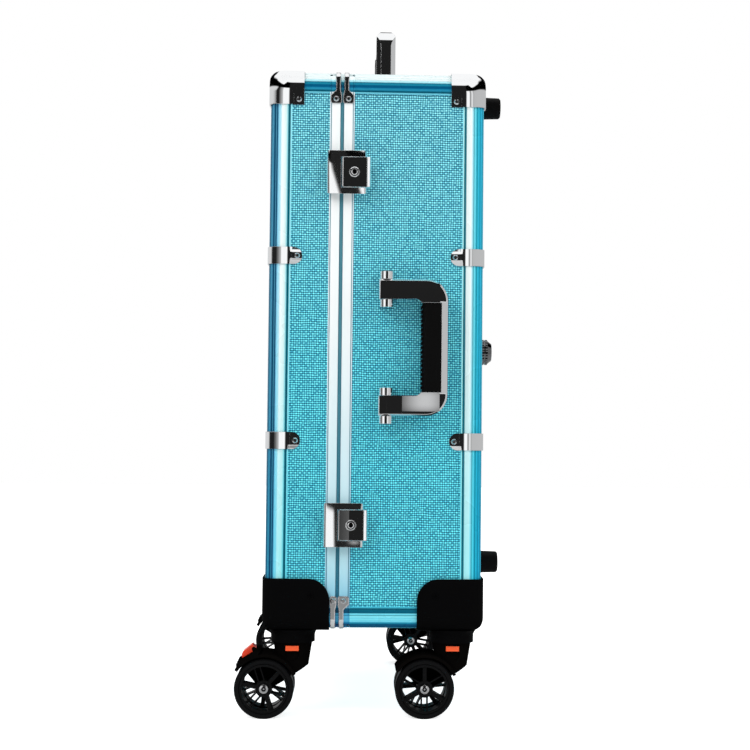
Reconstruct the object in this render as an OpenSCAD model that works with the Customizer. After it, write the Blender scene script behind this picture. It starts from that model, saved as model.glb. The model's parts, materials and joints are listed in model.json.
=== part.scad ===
// Rolling vanity case standing on four twin-wheel casters.
// X runs through the thickness: lid at -X, body at +X.
// Y runs from the latch side (-Y) to the hinge side (+Y). Z is up, the floor is Z 0.

/* [Case] */
// thickness of the closed case
case_t = 218; // [200:2:240]
// depth from the latch side to the hinge side
case_d = 400; // [360:5:440]
// height of the case without the casters
case_h = 564; // [520:4:620]
// thickness of the lid half
lid_t = 72.8; // [68:0.4:80]
// thickness of the boards
board = 4.4; // [4:0.1:4.8]
// thickness of the lining
lining_t = 2; // [1.5:0.5:3]

/* [Aluminium profiles] */
// width of the outer corner profile on each face
edge_leg = 22; // [20:0.5:24]
// radius of the outer corner profile
edge_r = 9; // [8:0.5:10]
// width of the profile round the opening
frame_leg = 12.5; // [11:0.5:14]
// wall of the profiles
skin = 1.5; // [1.2:0.1:1.8]

/* [Casters] */
// radius of a wheel
wheel_r = 30; // [28:0.5:32]
// width of one wheel
wheel_w = 17.5; // [15:0.5:19]
// distance from the swivel axis back to the wheel axle
trail = 28; // [25:1:30]
// height of the top of the swivel head
head_top = 75.5; // [74:0.5:80]
// distance of the swivel axis from the sides of the case
caster_inset = 28; // [26:1:30]
// size of the caster housing along each edge
housing_l = 65; // [62:1:67]
// height of the housing above the case bottom
housing_up = 50; // [46:1:56]

/* [Handles] */
// length of a handle over its arms
handle_len = 137; // [125:1:150]
// width of a handle arm
arm_w = 20; // [17:1:22]
// thickness of a handle
handle_th = 21; // [18:1:22]
// reach of the side handle from its pivot
side_reach = 61.5; // [56:0.5:66]
// reach of the top handle from its pivot
top_reach = 71; // [64:1:76]
// height of a handle pivot above the profiles
pivot_up = 12; // [11.5:0.5:14]
// place of the handle pivots from the parting line
pivot_in = 46.7; // [42:0.5:52]

/* [Latches] */
// height of the lever
lever_h = 30.4; // [28:0.4:34]
// length of the lever
lever_l = 29.6; // [28:0.4:32]
// height of the hook plate
hook_h = 44; // [42:0.5:48]

/* [Fittings] */
// size of a ball corner along each edge
ball_l = 34; // [33:0.5:36]
// radius of a ball corner
ball_r = 18; // [16:0.5:19]
// height of a strap
strap_h = 17.2; // [14:0.2:20]
// radius of a back foot
foot_r = 11.5; // [9:0.5:13]
// height of a back foot
foot_h = 20.5; // [17:0.5:24]

/* [Hidden] */
$fn = 48;
parting_x = -case_t / 2 + lid_t;
swivel_x = case_t / 2 - caster_inset;
swivel_y = case_d / 2 - caster_inset;
boss_top = head_top + 12.8;
case_z = boss_top + 3.2;
top_z = case_z + case_h;
mid_z = case_z + case_h / 2;
// depth of the far side of the boards below the outer faces
in_d = skin + board + 0.1;
// depth of the inner faces of the profiles
lip_d = in_d + 1.2;
// depth at which a board ends in a corner profile
seat = 9.6;
// outer face of the lining
line_d = lip_d + 0.2;
fit_in = line_d + lining_t;
// distance from a corner at which the profiles stop
corner_gap = max(ball_r + 6, edge_leg + 0.3);
ball_off = 1.8;
ball_in = 0.6;
// depth of the centre of the rounding along the edges of a ball corner
ball_edge = 7;
pad_z = 0.3;
// rivets of the parting corners from the edge
foot_up = 27.8;
rivet_in = edge_leg + 6.7;
wall_in = 0.6;
wall_out = 2.8;
knuckle_r = 3;
hinge_y = case_d / 2 + 3.4;
hinge_h = 36;
pivot_x = parting_x + pivot_in;
latch_z = [mid_z + 0.3152 * case_h, mid_z - 0.3152 * case_h];
strap_z = [mid_z + 0.166 * case_h, mid_z - 0.166 * case_h];
hinge_z = [mid_z + 0.3152 * case_h, mid_z, mid_z - 0.3152 * case_h];
// pivot of the lever, and the hook pivot and the key from there
lever_x = parting_x + 3.4;
lever_y = -case_d / 2 - 4.4;
hook_dx = 12.6;
key_dx = 9.6;
hood_r = wheel_r + 5;
// flat top of the tail of the hood, its turn round the axle, and the brake pivot along it
tail_r = wheel_r + 6.4;
tail_turn = 32;
brake_dx = 11;
x_lo = -(swivel_x + trail + wheel_r);
x_hi = case_t / 2 + foot_h;
y_lo = -(case_d / 2 + pivot_up + handle_th / 2);
y_hi = hinge_y + knuckle_r;
shift_x = -(x_lo + x_hi) / 2;
shift_y = -(y_lo + y_hi) / 2;
divider_t = 4;
foot_y = case_d / 2 - 50;
foot_z = [top_z - 24, case_z + 63.5];
knob_y = -(case_d / 2 - 50);
knob_z = mid_z;

// placing

module world() {
  translate([shift_x, shift_y, 0]) children();
}

module both_y() {
  children();
  mirror([0, 1, 0]) children();
}

// sx, sy, sz are 1 for the positive side and -1 for the negative side
module flip(sx, sy, sz) {
  mirror([sx > 0 ? 1 : 0, 0, 0])
    mirror([0, sy > 0 ? 1 : 0, 0])
      mirror([0, 0, sz > 0 ? 1 : 0])
        children();
}

// at one of the eight corners of the case, axes pointing into the case
module at_corner(sx, sy, sz) {
  translate([sx * case_t / 2, sy * case_d / 2, mid_z + sz * case_h / 2])
    flip(sx, sy, sz) children();
}

// at the parting line on one of the four edges that cross it, X into one half
module at_parting(sx, sy, sz) {
  translate([parting_x, sy * case_d / 2, mid_z + sz * case_h / 2])
    flip(-sx, sy, sz) children();
}

// extrusions of an XY, XZ or YZ section
module along_z(l) {
  linear_extrude(l) children();
}

module along_y(l) {
  translate([0, l, 0]) rotate([90, 0, 0]) linear_extrude(l) children();
}

module along_x(l) {
  rotate([90, 0, 90]) linear_extrude(l) children();
}

// sections

module rounded2d(l, r) {
  translate([r, 0]) square([l - r, l]);
  translate([0, r]) square([l, l - r]);
  translate([r, r]) circle(r);
}

module swap2d() {
  children();
  mirror([1, -1]) children();
}

// outer corner profile, corner at the origin, faces along both axes
module edge2d() {
  difference() {
    union() {
      intersection() {
        union() {
          swap2d() square([edge_leg, skin]);
          square([seat, seat]);
        }
        rounded2d(edge_leg + 1, edge_r);
      }
      swap2d() translate([skin, in_d]) square([14, lip_d - in_d]);
      // smooth raised band
      swap2d() intersection() {
        translate([15.2, 11.5]) circle(12);
        translate([11.8, -1]) square([6.8, 2]);
      }
    }
    translate([lip_d, lip_d]) square(40);
    // fine grooves round the corner
    for (a = [6, 23, 39, 51, 67, 84])
      translate([edge_r - edge_r * cos(a), edge_r - edge_r * sin(a)])
        circle(0.5, $fn = 8);
    swap2d() translate([10.6, 0]) circle(0.5, $fn = 8);
    swap2d() translate([edge_leg - 2.8, -1]) square([1.3, 1.7]);
  }
}

// profile round the opening, parting plane at X 0, outer face at Y 0
module frame2d(tongue) {
  difference() {
    union() {
      translate([1.9, 0]) square([frame_leg - 1.9, skin]);
      translate([0.15, 2.2]) square([3.85, lip_d - 2.2]);
      translate([0.15, 0.5]) square([0.65, 2]);
      translate([1.9, 0]) square([2.1, 3]);
      translate([0.15, in_d]) square([10, lip_d - in_d]);
      if (tongue) translate([-1.5, 3.6]) square([2, 0.9]);
    }
    if (!tongue) translate([-1, 3.1]) square([3, 1.9]);
    translate([frame_leg - 1.6, -1]) square([0.6, 1.5]);
  }
}

// parts shared by the two halves

// lengths of corner profile, which stop at the corner pieces
module edge_profiles(sx) {
  run = sx > 0 ? case_t - lid_t : lid_t;
  for (sy = [-1, 1]) {
    at_corner(sx, sy, -1) translate([0, 0, corner_gap])
      along_z(case_h - 2 * corner_gap) edge2d();
    for (sz = [-1, 1]) at_corner(sx, sy, sz) translate([corner_gap, 0, 0])
      along_x(run - frame_leg - 0.1 - corner_gap) edge2d();
  }
  for (sz = [-1, 1]) at_corner(sx, -1, sz) translate([0, corner_gap, 0])
    along_y(case_d - 2 * corner_gap) edge2d();
}

module opening_frame(sx) {
  intersection() {
    union() {
      for (sy = [-1, 1])
        at_parting(sx, sy, -1) along_z(case_h) frame2d(sx > 0);
      for (sz = [-1, 1])
        at_parting(sx, -1, sz) translate([0, lip_d + 0.05, 0])
          along_y(case_d - 2 * lip_d - 0.1) frame2d(sx > 0);
    }
    translate([parting_x - 30, -case_d / 2, case_z]) along_x(60) round_rect2d();
  }
}

module round_rect2d() {
  translate([edge_r, 0]) square([case_d - 2 * edge_r, case_h]);
  translate([0, edge_r]) square([case_d, case_h - 2 * edge_r]);
  for (y = [edge_r, case_d - edge_r], z = [edge_r, case_h - edge_r])
    translate([y, z]) circle(edge_r);
}

// board in a side wall: near and far walls
module side_panels(sx) {
  run = sx > 0 ? case_t - lid_t : lid_t;
  for (sy = [-1, 1])
    at_corner(sx, sy, -1) difference() {
      translate([seat + 0.1, skin + 0.05, seat + 0.1])
        cube([run - seat - 4.2, board, case_h - 2 * seat - 0.2]);
      translate([0, 0, case_h - corner_gap]) cube([corner_gap, 20, 60]);
    }
}

// boards in the top and bottom walls
module end_panels(sx) {
  run = sx > 0 ? case_t - lid_t : lid_t;
  for (sz = [-1, 1])
    at_corner(sx, -1, sz) difference() {
      translate([seat + 0.1, seat + 0.1, skin + 0.05])
        cube([run - seat - 4.2, case_d - 2 * seat - 0.2, board]);
      if (sz > 0) for (y = [0, case_d])
        translate([0, y - corner_gap, 0]) cube([corner_gap, 2 * corner_gap, 20]);
    }
}

// large board of a half
module face_panel(sx) {
  at_corner(sx, -1, -1) difference() {
    translate([skin + 0.05, seat + 0.1, seat + 0.1])
      cube([board, case_d - 2 * seat - 0.2, case_h - 2 * seat - 0.2]);
    for (y = [0, case_d])
      translate([0, y - corner_gap, case_h - corner_gap])
        cube([20, 2 * corner_gap, 60]);
  }
}

module lining(sx) {
  run = sx > 0 ? case_t - lid_t : lid_t;
  at_corner(sx, -1, -1) difference() {
    translate([line_d, line_d, line_d])
      cube([run - line_d - 1, case_d - 2 * line_d, case_h - 2 * line_d]);
    translate([fit_in, fit_in, fit_in])
      cube([run, case_d - 2 * fit_in, case_h - 2 * fit_in]);
  }
}

// ball corner: its block is round in each face view and rounded along each edge
module ball_block(o, l) {
  for (k = [0, 1, 2]) multmatrix(turn(k)) ball_face(o, l);
}

module ball_face(o, l) {
  c = ball_r - ball_off;
  translate([c, c, 0]) rotate([0, 0, 180]) rotate_extrude(angle = 90) ball_section(o, l);
  translate([c, 0, 0]) along_x(l - c) translate([o, o]) rounded2d(l - o, ball_edge - o);
  translate([0, c, 0]) along_y(l - c) translate([o, o]) rounded2d(l - o, ball_edge - o);
}

module ball_section(o, l) {
  big = ball_r - ball_off - o;
  r = ball_edge - o;
  difference() {
    translate([0, o]) square([big, l - o]);
    difference() {
      translate([big - r, o - 1]) square([r + 1, r + 1]);
      translate([big - r, ball_edge]) circle(r);
    }
  }
}

function turn(k) = k == 0 ? [[1, 0, 0, 0], [0, 1, 0, 0], [0, 0, 1, 0]]
  : k == 1 ? [[0, 0, 1, 0], [1, 0, 0, 0], [0, 1, 0, 0]]
  : [[0, 1, 0, 0], [0, 0, 1, 0], [1, 0, 0, 0]];

module ball_corners(sx) {
  wall = edge_leg + 0.4;
  for (sy = [-1, 1]) at_corner(sx, sy, 1) difference() {
    union() {
      difference() {
        ball_block(-ball_off, ball_l);
        ball_block(-ball_in, ball_l + 8);
      }
      // sunk pads that carry the rivets
      for (k = [0, 1, 2]) multmatrix(turn(k)) translate([wall, wall, -ball_off + 0.5])
        cube([ball_l - wall, ball_l - wall, skin + ball_off - 0.5]);
    }
    for (k = [0, 1, 2]) multmatrix(turn(k)) {
      translate([wall + 1.2, wall + 1.2, -ball_off - 1])
        cube([ball_l, ball_l, ball_off + 1 + pad_z]);
      translate([rivet_in, rivet_in, -1]) cylinder(r = 1.6, h = 4, $fn = 16);
    }
  }
}

module rivet() {
  cylinder(r1 = 2.9, r2 = 1.7, h = 1.4, $fn = 24);
  translate([0, 0, -0.9]) cylinder(r = 1.5, h = 1, $fn = 16);
}

// strap round an upright profile, in corner axes, centred on Z 0
module strap() {
  difference() {
    union() {
      translate([0, 0, -strap_h / 2]) along_z(strap_h) difference() {
        translate([-1.6, -1.6]) rounded2d(edge_leg + 3, edge_r + 1.6);
        translate([-0.6, -0.6]) rounded2d(60, edge_r + 0.6);
      }
      strap_tab();
      mirror([1, -1, 0]) strap_tab();
    }
    strap_hole();
    mirror([1, -1, 0]) strap_hole();
  }
}

// end of a strap: a wall down the side of the profile and a round lobe on the board
module strap_tab() {
  x = edge_leg + 0.3;
  translate([x, -1.6, -strap_h / 2]) cube([1.2, 1.6 + skin, strap_h]);
  translate([x, pad_z, -strap_h / 2]) cube([3, skin - pad_z, strap_h]);
  intersection() {
    translate([x + 2.7, skin, 0]) rotate([90, 0, 0]) cylinder(r = strap_h / 2, h = skin - pad_z);
    translate([x + 2.7, -3, -strap_h / 2]) cube([20, 6, strap_h]);
  }
}

module strap_hole() {
  translate([rivet_in, 3, 0]) rotate([90, 0, 0]) cylinder(r = 1.6, h = 4, $fn = 16);
}

module straps(sx) {
  for (sy = [-1, 1], z = strap_z)
    translate([sx * case_t / 2, sy * case_d / 2, z]) flip(sx, sy, -1) strap();
}

// parting corner plate in parting axes: wide foot on both faces and a neck over the edge
module parting_corner(w) {
  difference() {
    union() {
      translate([1.9, 0, 0]) along_x(min(4.7, w - 1.3)) difference() {
        translate([-1.1, -1.1]) rounded2d(25, edge_r + 1.1);
        translate([-0.03, -0.03]) rounded2d(60, edge_r + 0.03);
      }
      parting_foot(w);
      parting_foot_top(w);
    }
    translate([w / 2 + 0.6, 0, foot_up]) rotate([90, 0, 0])
      cylinder(r = 1.6, h = 4, $fn = 16);
    translate([w / 2 + 0.6, foot_up, -4]) cylinder(r = 1.6, h = 4, $fn = 16);
  }
}

module parting_foot2d(w) {
  polygon([[1.9, 19], [min(6.6, w + 0.6), 19], [w + 0.6, 24.2], [w + 0.6, 31],
    [w - 0.8, 32.5], [2, 32.5], [0.6, 31], [0.6, 24.2]]);
}

module parting_foot(w) {
  translate([0, -1.1, 0]) along_y(1.07) parting_foot2d(w);
}

module parting_foot_top(w) {
  translate([0, 0, -1.1]) along_z(1.07) parting_foot2d(w);
}

// the plates on the lid side stop short of the caster housings at the bottom
function foot_w(sx, sz) = sz < 0 && sx < 0 ? min(11.4, lid_t - housing_l - 0.9) : 11.4;

module parting_corners(sx) {
  for (sy = [-1, 1], sz = [-1, 1])
    at_parting(sx, sy, sz) parting_corner(foot_w(sx, sz));
}

module rivets(sx) {
  for (sy = [-1, 1]) {
    at_corner(sx, sy, 1) for (k = [0, 1, 2]) multmatrix(turn(k))
      translate([rivet_in, rivet_in, pad_z]) mirror([0, 0, 1]) rivet();
    for (z = strap_z)
      translate([sx * case_t / 2, sy * case_d / 2, z]) flip(sx, sy, -1) {
        translate([rivet_in, pad_z, 0]) rotate([90, 0, 0]) rivet();
        mirror([1, -1, 0]) translate([rivet_in, pad_z, 0]) rotate([90, 0, 0]) rivet();
      }
    for (sz = [-1, 1]) at_parting(sx, sy, sz) {
      translate([foot_w(sx, sz) / 2 + 0.6, -1.1, foot_up]) rotate([90, 0, 0]) rivet();
      translate([foot_w(sx, sz) / 2 + 0.6, foot_up, -1.1]) mirror([0, 0, 1]) rivet();
    }
  }
}

// caster housing at a bottom corner, in corner axes
module housing_face2d() {
  translate([-wall_out, -wall_out]) difference() {
    rounded2d(housing_l + 40, 15);
    translate([housing_l + wall_out, -1]) square(80);
    translate([-1, housing_up + wall_out]) square(120);
    translate([housing_l + wall_out - 22, housing_up + wall_out - 22]) difference() {
      square(23);
      circle(22);
    }
  }
}

module housing() {
  difference() {
    union() {
      intersection() {
        translate([0, -wall_out, 0]) along_y(housing_l + wall_out) housing_face2d();
        translate([-wall_out, 0, 0]) along_x(housing_l + wall_out) housing_face2d();
        translate([-wall_out, -wall_out, -3.2]) along_z(housing_up + 10)
          rounded2d(housing_l + wall_out, edge_r + wall_out);
      }
      // boss over the swivel head
      intersection() {
        translate([caster_inset, caster_inset, 0]) rotate_extrude() boss2d();
        translate([caster_inset - 23.5, caster_inset - 23.5, -30]) cube(60);
      }
    }
    // the case corner
    difference() {
      translate([-wall_in, -wall_in, -wall_in]) cube(200);
      rounding(0);
      rounding(1);
      rounding(2);
    }
    // socket of the caster stem
    translate([caster_inset, caster_inset, head_top - case_z - 1]) cylinder(r = 6, h = 12);
    // seats of the screws
    translate([46.4, -wall_out + 1.2, 33]) rotate([90, 0, 0]) cylinder(r = 3.4, h = 4);
    translate([-wall_out + 1.2, 46.4, 33]) rotate([0, -90, 0]) cylinder(r = 3.4, h = 4);
  }
}

// what a rounded edge of the case leaves outside, one of three directions
module rounding(k) {
  multmatrix(turn(k)) translate([-wall_in, -wall_in, -2]) difference() {
    translate([-1, -1, 0]) cube([edge_r + wall_in + 1, edge_r + wall_in + 1, 300]);
    translate([edge_r + wall_in, edge_r + wall_in, -1])
      cylinder(r = edge_r + wall_in, h = 302);
    translate([edge_r + wall_in, -2, -1]) cube([40, 60, 302]);
    translate([-2, edge_r + wall_in, -1]) cube([60, 40, 302]);
  }
}

// skirt round the swivel head, flared where it meets the bottom of the housing
module boss2d() {
  top = -wall_out + 0.4;
  low = head_top + 0.3 - case_z;
  flare = 7.1;
  difference() {
    translate([0, low]) square([22.4 + flare, top - low]);
    translate([22.4, low - 1]) square([10, top - low - flare + 1]);
    translate([22.4 + flare, top - flare]) circle(flare);
  }
}

module housings(sx) {
  for (sy = [-1, 1]) {
    at_corner(sx, sy, -1) housing();
    at_corner(sx, sy, -1) {
      translate([46.4, -wall_out + 1.2, 33]) rotate([90, 0, 0]) screw();
      translate([-wall_out + 1.2, 46.4, 33]) rotate([0, -90, 0]) screw();
    }
  }
}

module screw() {
  difference() {
    cylinder(r = 3.2, h = 1.4, $fn = 24);
    for (r = [0, 90]) rotate([0, 0, r]) translate([-2, -0.4, 0.7]) cube([4, 0.8, 2]);
  }
}

// body nodes

module body_back_panel() {
  color([0.30, 0.72, 0.80]) world() face_panel(1);
}

module body_end_panels() {
  color([0.30, 0.72, 0.80]) world() end_panels(1);
}

module body_side_panels() {
  color([0.30, 0.72, 0.80]) world() side_panels(1);
}

module body_edge_profiles() {
  color([0.15, 0.66, 0.80]) world() edge_profiles(1);
}

module body_opening_frame() {
  color([0.75, 0.88, 0.92]) world() opening_frame(1);
}

module body_lining() {
  color([0.10, 0.10, 0.11]) world() lining(1);
}

// one upright board and two shelves halved into each other
module body_dividers() {
  depth = case_t - lid_t - fit_in - 22;
  inner_d = case_d - 2 * fit_in - 0.4;
  inner_h = case_h - 2 * fit_in - 0.4;
  color([0.14, 0.14, 0.15]) world() translate([case_t / 2 - fit_in - depth, 0, mid_z]) {
    translate([0, -divider_t / 2, -inner_h / 2]) cube([depth - 0.1, divider_t, inner_h]);
    for (z = [-inner_h / 6, inner_h / 6])
      translate([0, -inner_d / 2, z - divider_t / 2]) cube([depth - 0.1, inner_d, divider_t]);
  }
}

module body_ball_corners() {
  color([0.80, 0.81, 0.82]) world() ball_corners(1);
}

module body_parting_corners() {
  color([0.80, 0.81, 0.82]) world() parting_corners(1);
}

module body_straps() {
  color([0.80, 0.81, 0.82]) world() straps(1);
}

module body_rivets() {
  color([0.86, 0.87, 0.88]) world() rivets(1);
}

module body_caster_housings() {
  color([0.05, 0.05, 0.05]) world() housings(1);
}

module back_feet() {
  color([0.05, 0.05, 0.05]) world() difference() {
    for (sy = [-1, 1], z = foot_z)
      translate([case_t / 2 - skin, sy * foot_y, z]) rotate([0, 90, 0]) {
        cylinder(r = foot_r + 1, h = 3.4);
        translate([0, 0, 2]) cylinder(r1 = foot_r, r2 = foot_r - 0.6, h = foot_h + skin - 3.5);
        translate([0, 0, foot_h + skin - 1.5])
          cylinder(r1 = foot_r - 0.6, r2 = foot_r - 2, h = 1.5);
      }
    // the upper feet stand half on the corner profile
    translate([case_t / 2 - 10, -case_d / 2, top_z - edge_leg - 0.3])
      cube([10.6, case_d, 60]);
  }
}

module back_knob() {
  color([0.80, 0.81, 0.82]) world() translate([case_t / 2 - skin, knob_y, knob_z])
    rotate([0, 90, 0]) {
      translate([0, 0, 0.3]) cylinder(r = 16, h = 2.2);
      difference() {
        translate([0, 0, 2.4]) cylinder(r = 13.2, h = 7.6);
        for (a = [0 : 15 : 345]) rotate([0, 0, a]) translate([14.1, 0, 1])
          cylinder(r = 1.5, h = 12, $fn = 8);
        translate([0, 0, 6.4]) difference() {
          cylinder(r = 20, h = 1.2);
          cylinder(r = 12, h = 1.2);
        }
      }
      translate([0, 0, 9.9]) cylinder(r1 = 12.4, r2 = 9, h = 4.4);
    }
}

// hinge leaf with its share of the five knuckles; X points into its half
module leaf(own) {
  k = hinge_h / 5;
  difference() {
    union() {
      for (i = own) translate([0, 0, -hinge_h / 2 + i * k + 0.15]) {
        cylinder(r = knuckle_r, h = k - 0.3);
        translate([0, -3.4, 0]) cube([knuckle_r - 0.2, 3.4, k - 0.3]);
      }
      translate([knuckle_r - 1.2, -3.35, -hinge_h / 2]) cube([frame_leg - 3, 1.3, hinge_h]);
    }
    translate([0, 0, -hinge_h]) cylinder(r = 1.55, h = 2 * hinge_h, $fn = 32);
    for (i = [0 : 4]) if (len(search(i, own)) == 0)
      translate([-10, -3.36, -hinge_h / 2 + i * k - 0.15]) cube([13.2, 9, k + 0.3]);
    for (z = [-12, 0, 12]) translate([8, -2.3, z]) rotate([-90, 0, 0])
      cylinder(r1 = 1.6, r2 = 2.4, h = 1.3, $fn = 16);
  }
}

module hinge_body_leaves() {
  color([0.80, 0.81, 0.82]) world() for (z = hinge_z)
    translate([parting_x, hinge_y, z]) leaf([0, 2, 4]);
}

module hinge_lid_leaves() {
  color([0.80, 0.81, 0.82]) world() for (z = hinge_z)
    translate([parting_x, hinge_y, z]) mirror([1, 0, 0]) leaf([1, 3]);
}

module hinge_pins() {
  color([0.70, 0.71, 0.72]) world() for (z = hinge_z)
    translate([parting_x, hinge_y, z]) {
      translate([0, 0, -hinge_h / 2 - 0.2]) cylinder(r = 1.5, h = hinge_h + 0.4, $fn = 32);
      for (s = [-1, 1]) translate([0, 0, s * (hinge_h / 2 + 0.7) - 0.5])
        cylinder(r = 2.4, h = 1, $fn = 32);
    }
}

// latch base: plate with two ears that carry the lever pin
module latch_bases() {
  y = -case_d / 2;
  color([0.72, 0.73, 0.74]) world() for (z = latch_z) {
    translate([parting_x + 2.1, y - 1.1, z - 11]) cube([18, 1.05, 22]);
    translate([parting_x + frame_leg + 0.1, y - 1.1, z - 11])
      cube([20 - frame_leg, 1.1 + skin, 22]);
    for (s = [-1, 1]) translate([lever_x, lever_y, z + s * 8.5 - 1]) {
      cylinder(r = 2.2, h = 2, $fn = 24);
      translate([-1.3, 0, 0]) cube([3.5, 3.35, 2]);
    }
    translate([lever_x, lever_y, z - 13.6]) cylinder(r = 1, h = 27.2, $fn = 24);
  }
}

// ears of a handle in handle axes: pivot axis along Z at the origin, board at X below
module ears(down) {
  half = handle_len / 2;
  for (s = [-1, 1]) {
    for (t = [half - arm_w - 8, half + 0.3])
      translate([0, 0, s * (t + 3.85) - 3.85]) difference() {
        union() {
          cylinder(r = 7.2, h = 7.7);
          translate([-down, -7.2, 0]) cube([down, 14.4, 7.7]);
        }
      }
    translate([0, 0, s * (half - arm_w / 2) - arm_w / 2 - 4])
      cylinder(r = 2.5, h = arm_w + 8, $fn = 24);
  }
}

// handle frame in handle axes: reaches along Y, pivot along Z
module handle_frame(reach) {
  half = handle_len / 2;
  difference() {
    intersection() {
      // outline seen from the front
      translate([-handle_th, 0, 0]) along_x(2 * handle_th) difference() {
        union() {
          translate([-8.4, -half]) square([reach + 8.4 - 22, handle_len]);
          translate([0, -half + 22]) square([reach, handle_len - 44]);
          for (s = [-1, 1]) translate([reach - 22, s * (half - 22)]) circle(22);
        }
        translate([-20, -half + arm_w]) square([13 + reach - 26, handle_len - 2 * arm_w]);
        translate([-20, -half + arm_w + 7]) square([20 + reach - 26, handle_len - 2 * arm_w - 14]);
        for (s = [-1, 1]) translate([reach - 33, s * (half - arm_w - 7)]) circle(7);
      }
      // outline seen along the pivot
      translate([0, 0, -half]) along_z(handle_len) union() {
        circle(8.4);
        polygon([[-8.2, 0], [8.2, 0], [handle_th / 2, 16], [handle_th / 2, reach - 8],
          [handle_th / 2 - 5.3, reach], [5.3 - handle_th / 2, reach],
          [-handle_th / 2, reach - 8], [-handle_th / 2, 16]]);
      }
      // bevelled flanks of the arms
      translate([0, -20, 0]) along_y(reach + 40) polygon([
        [handle_th / 2 - 5, -half], [handle_th / 2 + 0.1, -half + 4.5],
        [handle_th / 2 + 0.1, half - 4.5], [handle_th / 2 - 5, half],
        [5 - handle_th / 2, half], [-handle_th / 2 - 0.1, half - 4.5],
        [-handle_th / 2 - 0.1, -half + 4.5], [5 - handle_th / 2, -half]]);
    }
    // seat of the grip
    translate([-handle_th, reach - 27, -half + arm_w + 3.6])
      cube([2 * handle_th, 20.6, handle_len - 2 * arm_w - 7.2]);
    // pin bore
    translate([0, 0, -half - 1]) cylinder(r = 2.56, h = handle_len + 2, $fn = 24);
  }
}

module handle_grip(reach) {
  half = handle_len / 2;
  len_g = handle_len - 2 * arm_w - 7.4;
  teeth = floor(len_g / 4.5);
  difference() {
    union() {
      translate([-handle_th / 2 + 1, reach - 25.6, -len_g / 2]) cube([handle_th - 2, 19.1, len_g]);
      for (i = [0 : teeth - 1])
        translate([-handle_th / 2 + 2.5, reach - 26.8, (i + 0.5 - teeth / 2) * 4.5 - 1.2])
          cube([handle_th - 5, 2, 2.4]);
    }
    for (s = [-1, 1]) translate([s * (handle_th / 2 - 1), reach - 25.6, -len_g])
      rotate([0, 0, 45]) translate([-2.1, -2.1, 0]) cube([4.2, 4.2, 2 * len_g]);
  }
}

module side_axes() {
  translate([pivot_x, -case_d / 2 - pivot_up, mid_z + 0.5]) rotate([0, 0, -90]) children();
}

module top_axes() {
  translate([pivot_x, 0, top_z + pivot_up]) rotate([90, 0, 0]) children();
}

module handle_ears() {
  color([0.80, 0.81, 0.82]) world() {
    side_axes() ears(pivot_up + skin);
    top_axes() rotate([0, 0, 90]) ears(pivot_up + skin);
  }
}

module side_handle() {
  color([0.80, 0.81, 0.82]) world() side_axes() handle_frame(side_reach);
}

module side_handle_grip() {
  color([0.05, 0.05, 0.05]) world() side_axes() handle_grip(side_reach);
}

module top_handle() {
  color([0.80, 0.81, 0.82]) world() top_axes() handle_frame(top_reach);
}

module top_handle_grip() {
  color([0.05, 0.05, 0.05]) world() top_axes() handle_grip(top_reach);
}

// lid nodes

module lid_front_panel() {
  color([0.30, 0.72, 0.80]) world() face_panel(-1);
}

module lid_end_panels() {
  color([0.30, 0.72, 0.80]) world() end_panels(-1);
}

module lid_side_panels() {
  color([0.30, 0.72, 0.80]) world() side_panels(-1);
}

module lid_edge_profiles() {
  color([0.15, 0.66, 0.80]) world() edge_profiles(-1);
}

module lid_opening_frame() {
  color([0.75, 0.88, 0.92]) world() opening_frame(-1);
}

module lid_lining() {
  color([0.10, 0.10, 0.11]) world() lining(-1);
}

module lid_mirror() {
  color([0.82, 0.86, 0.88]) world()
    translate([-case_t / 2 + fit_in + 0.1, -case_d / 2 + fit_in + 30, case_z + fit_in + 40])
      cube([4, case_d - 2 * fit_in - 60, case_h - 2 * fit_in - 80]);
}

module lid_ball_corners() {
  color([0.80, 0.81, 0.82]) world() ball_corners(-1);
}

module lid_parting_corners() {
  color([0.80, 0.81, 0.82]) world() parting_corners(-1);
}

module lid_straps() {
  color([0.80, 0.81, 0.82]) world() straps(-1);
}

module lid_rivets() {
  color([0.86, 0.87, 0.88]) world() rivets(-1);
}

module lid_caster_housings() {
  color([0.05, 0.05, 0.05]) world() housings(-1);
}

// ridge on the lid that the hook draws against
module latch_catches() {
  y = -case_d / 2;
  color([0.72, 0.73, 0.74]) world() for (z = latch_z) {
    translate([parting_x - frame_leg - 0.8, y - 1, z - 14]) cube([frame_leg - 1.2, 0.95, 28]);
    translate([parting_x - frame_leg - 0.8, y - 2.4, z - 14]) cube([2.6, 1.6, 28]);
  }
}

// latch lever in lever axes: pivot along Z at the origin, outside towards -Y
module latch_lever(z) {
  color([0.80, 0.81, 0.82]) world() translate([lever_x, lever_y, z]) difference() {
    union() {
      lever_plate();
      for (s = [-1, 1]) translate([0, 0, s * 12.4 - 1.4]) {
        cylinder(r = 2.2, h = 2.8, $fn = 24);
        translate([-2.2, -3.8, 0]) cube([4.4, 3.8, 2.8]);
        translate([hook_dx, -2.2, 0]) cylinder(r = 2, h = 2.8, $fn = 24);
        translate([hook_dx - 2, -3.8, 0]) cube([4, 1.8, 2.8]);
      }
      // pins that carry the hook plate
      for (s = [-1, 1]) translate([hook_dx, -2.2, s * 16 - 2.7])
        cylinder(r = 1, h = 5.4, $fn = 24);
    }
    translate([0, 0, -14]) cylinder(r = 1.06, h = 28, $fn = 24);
    translate([key_dx, 6, 0]) rotate([90, 0, 0]) cylinder(r = 5.2, h = 20);
  }
}

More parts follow.
